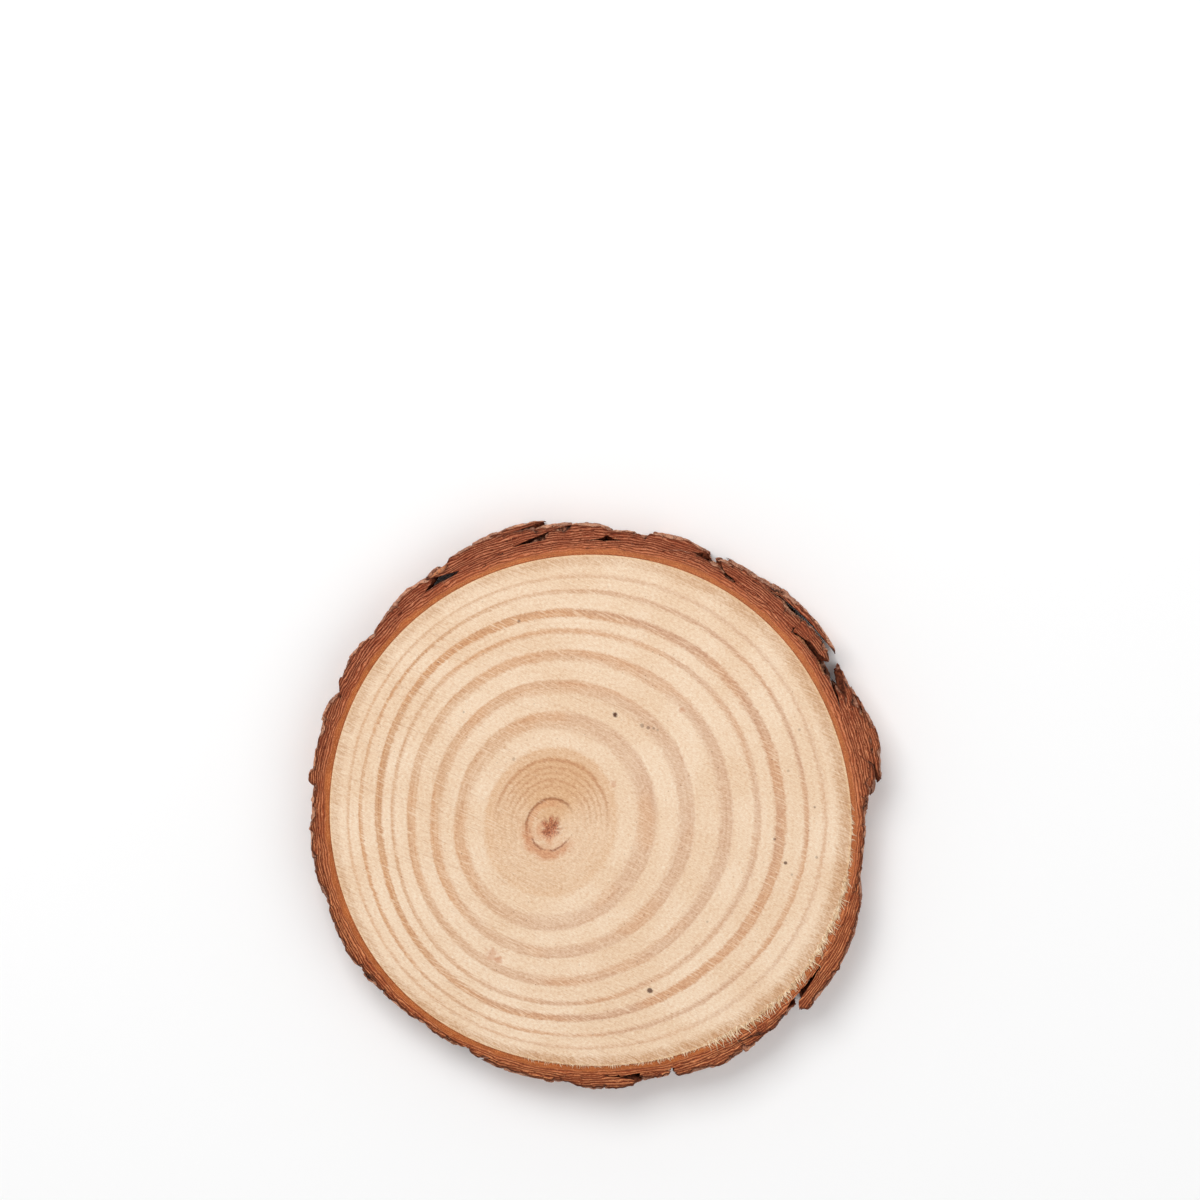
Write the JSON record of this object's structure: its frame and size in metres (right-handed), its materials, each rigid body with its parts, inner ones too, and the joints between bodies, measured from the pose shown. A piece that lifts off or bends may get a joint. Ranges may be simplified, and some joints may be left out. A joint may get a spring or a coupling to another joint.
{
  "type": "wood slice",
  "caption": "Round slice sawn across a young pine trunk: flat sawn faces with growth rings round an off-centre pith, and a rim of rough, flaking bark.",
  "frame": {"origin": "middle of the footprint, on the lower sawn face", "axes": "+Z along the trunk, out of the upper sawn face; +Y away from the pith, towards the thickest bark"},
  "size_m": [0.103, 0.103, 0.01],
  "materials": {
    "sawn_wood": "sawn, unfinished pale pine with tan growth rings",
    "bark": "rough reddish-brown pine bark in flaking plates, matt"
  },
  "bodies": {
    "root": {"wood_slice": "sawn_wood"}
  },
  "joints": []
}
